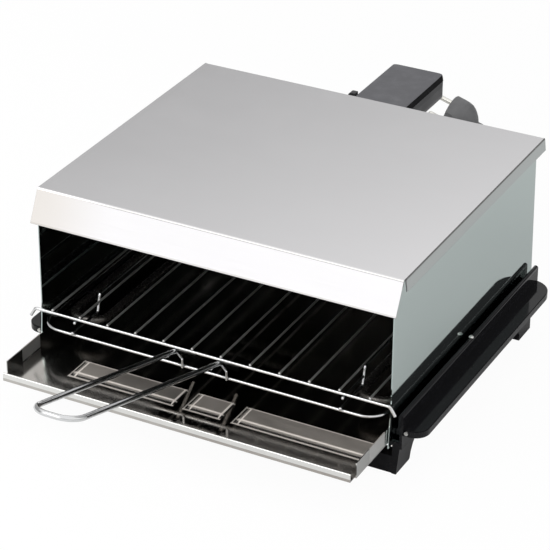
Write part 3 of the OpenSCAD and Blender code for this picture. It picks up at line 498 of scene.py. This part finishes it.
def cross_screw(place, width, rise, shank, length):
    """A pan head with a cross recess, and its shank below."""
    n = 28
    verts, faces = [], []
    rows = 12
    for j in range(rows + 1):
        r = width / 2 * j / rows
        for k in range(n):
            a = 2 * math.pi * k / n
            x, y = r * math.cos(a), r * math.sin(a)
            h = rise * (1 - 0.55 * (r / (width / 2)) ** 2.4)
            arm = min(max(abs(x) - width * 0.05, 0) * 6 + max(abs(y) - width * 0.27, 0) * 6,
                      max(abs(y) - width * 0.05, 0) * 6 + max(abs(x) - width * 0.27, 0) * 6)
            h -= max(0.0, 1 - arm) * rise * 0.5
            verts.append(place @ Vector((x / 1000, y / 1000, h / 1000)))
    for j in range(rows):
        for k in range(n):
            m = (k + 1) % n
            faces.append((j * n + k, (j + 1) * n + k, (j + 1) * n + m, j * n + m))
    rim, base = (verts, faces), lathe([(shank / 2, -length), (shank / 2, 0), (width / 2, 0), (width / 2, rise * 0.45)], place, n)
    return joined([rim, base])


def add_screws():
    rear = joined([cross_screw(facing(at(x, 270.65, 167.5), (0, 1, 0), 0.4), 6, 2.3, 3, 3) for x in (-110, 110)])
    piece = mesh_piece("cover_screw_heads", *rear, "base", "zinc", "fastener_zinc")
    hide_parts("cover_screws")
    box = joined([cross_screw(facing(at(BOX_X + x, 295.6, 136), (0, 1, 0), 0.9), 5.6, 1.9, 3, 5.5) for x in (-20, 20)])
    piece = mesh_piece("box_screw_heads", *box, "base", "zinc", "fastener_zinc")
    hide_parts("box_screws")


add_screws()


def add_sleeve():
    """The strain relief: a collar at the box and a ribbed taper below it."""
    profile = [(LEAD_D / 2, 26), (LEAD_D / 2 + 0.6, 26)]
    for i in range(8):
        top = 25.4 - i * 2.8
        r = LEAD_D / 2 + 0.8 + (26 - top) / 24 * 1.7
        profile += [(r, top + 0.2), (r + 0.12, top - 0.3), (r + 0.2, top - 1.3), (r - 0.55, top - 1.5), (r - 0.5, top - 2.3)]
    profile += [(LEAD_D / 2 + 2.5, 2.8), (LEAD_D / 2 + 3, 2.2), (LEAD_D / 2 + 3, 0.1), (LEAD_D / 2 + 1.5, 0.05),
                (LEAD_D / 2 + 1.5, -4), (LEAD_D / 2, -4)]
    place = facing(at(BOX_X, SLEEVE_Y, BOX_Z0), (0, 0, -1))
    verts, faces = lathe(profile, place)
    n = 40
    faces = faces[:-2]
    last = len(profile) - 1
    faces += [(k, last * n + k, last * n + (k + 1) % n, (k + 1) % n) for k in range(n)]
    piece = mesh_piece("strain_relief", verts, faces, "base", "channel", "black_bakelite")
    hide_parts("lead_sleeve")


add_sleeve()


# Floor, world and lamps
def make_floor():
    mesh = bpy.data.meshes.new("floor")
    mesh.from_pydata([(-6, -6, 0), (6, -6, 0), (6, 6, 0), (-6, 6, 0)], [], [(0, 1, 2, 3)])
    floor = bpy.data.objects.new("floor", mesh)
    floor.location.z = -0.0002
    scene.collection.objects.link(floor)
    material = bpy.data.materials.new("pale_floor")
    material.use_nodes = True
    tree = material.node_tree
    shader = tree.nodes["Principled BSDF"]
    shader.inputs["Roughness"].default_value = 0.9
    # paler in front on the left, greyer behind on the right, as the studio's paper is lit
    way = tree.nodes.new("ShaderNodeVectorMath")
    way.operation = "DOT_PRODUCT"
    way.inputs[1].default_value = (0.6, 0.8, 0)
    tree.links.new(tree.nodes.new("ShaderNodeTexCoord").outputs["Object"], way.inputs[0])
    shade = tree.nodes.new("ShaderNodeMapRange")
    shade.interpolation_type = "SMOOTHSTEP"
    for name, number in (("From Min", -0.35), ("From Max", 0.45), ("To Min", 0.86), ("To Max", 0.60)):
        shade.inputs[name].default_value = number
    tree.links.new(way.outputs["Value"], shade.inputs["Value"])
    tree.links.new(shade.outputs["Result"], shader.inputs["Base Color"])
    glow = tree.nodes.new("ShaderNodeEmission")
    glow.inputs["Color"].default_value = (1, 1, 1, 1)
    glow.inputs["Strength"].default_value = 1
    path = tree.nodes.new("ShaderNodeLightPath")
    share = tree.nodes.new("ShaderNodeMath")
    share.operation = "MULTIPLY"
    share.inputs[1].default_value = 0.96
    mix = tree.nodes.new("ShaderNodeMixShader")
    tree.links.new(path.outputs["Is Camera Ray"], share.inputs[0])
    tree.links.new(share.outputs[0], mix.inputs["Fac"])
    tree.links.new(shader.outputs[0], mix.inputs[1])
    tree.links.new(glow.outputs[0], mix.inputs[2])
    tree.links.new(mix.outputs[0], tree.nodes["Material Output"].inputs["Surface"])
    mesh.materials.append(material)


make_floor()


def make_world():
    """A pale studio: bright overhead and in front, a grey screen behind on the right; white to the camera."""
    world = bpy.data.worlds.new("studio")
    scene.world = world
    world.use_nodes = True
    tree = world.node_tree
    tree.nodes.clear()
    way = tree.nodes.new("ShaderNodeTexCoord").outputs["Generated"]

    def patch(direction, a, b, strength):
        dot = tree.nodes.new("ShaderNodeVectorMath")
        dot.operation = "DOT_PRODUCT"
        dot.inputs[1].default_value = Vector(direction).normalized()
        tree.links.new(way, dot.inputs[0])
        step = tree.nodes.new("ShaderNodeMapRange")
        step.interpolation_type = "SMOOTHSTEP"
        for name, number in (("From Min", a), ("From Max", b), ("To Min", 0), ("To Max", strength)):
            step.inputs[name].default_value = number
        tree.links.new(dot.outputs["Value"], step.inputs["Value"])
        return step.outputs["Result"]

    total = 0.5
    patches = [((0.3, 0, 0.95), 0.20, 0.46, 0.80), ((-0.41, -0.86, 0.30), 0.80, 0.97, 0.98), ((0.4, 0.77, 0.5), 0.84, 0.96, -0.78)]
    for spot in patches:
        add = tree.nodes.new("ShaderNodeMath")
        add.operation = "ADD"
        tree.links.new(patch(*spot), add.inputs[0])
        if isinstance(total, float):
            add.inputs[1].default_value = total
        else:
            tree.links.new(total, add.inputs[1])
        total = add.outputs[0]
    studio = tree.nodes.new("ShaderNodeBackground")
    studio.inputs["Color"].default_value = (1, 1, 1, 1)
    tree.links.new(total, studio.inputs["Strength"])
    plain = tree.nodes.new("ShaderNodeBackground")
    plain.inputs["Color"].default_value = (1, 1, 1, 1)
    plain.inputs["Strength"].default_value = 1
    path = tree.nodes.new("ShaderNodeLightPath")
    mix = tree.nodes.new("ShaderNodeMixShader")
    tree.links.new(path.outputs["Is Camera Ray"], mix.inputs["Fac"])
    tree.links.new(studio.outputs[0], mix.inputs[1])
    tree.links.new(plain.outputs[0], mix.inputs[2])
    out = tree.nodes.new("ShaderNodeOutputWorld")
    tree.links.new(mix.outputs[0], out.inputs["Surface"])


make_world()


def lamp(name, place, target, size, power):
    data = bpy.data.lights.new(name, "AREA")
    data.shape = "RECTANGLE"
    data.size, data.size_y = size
    data.energy = power
    made = bpy.data.objects.new(name, data)
    made.location = place
    made.rotation_euler = (Vector(target) - Vector(place)).to_track_quat("-Z", "Y").to_euler()
    scene.collection.objects.link(made)


lamp("key_softbox", (-0.9, -1.5, 1.7), (0, 0, 0.1), (1.1, 0.8), 9)

scene.view_settings.view_transform = "Standard"
bpy.context.view_layer.update()
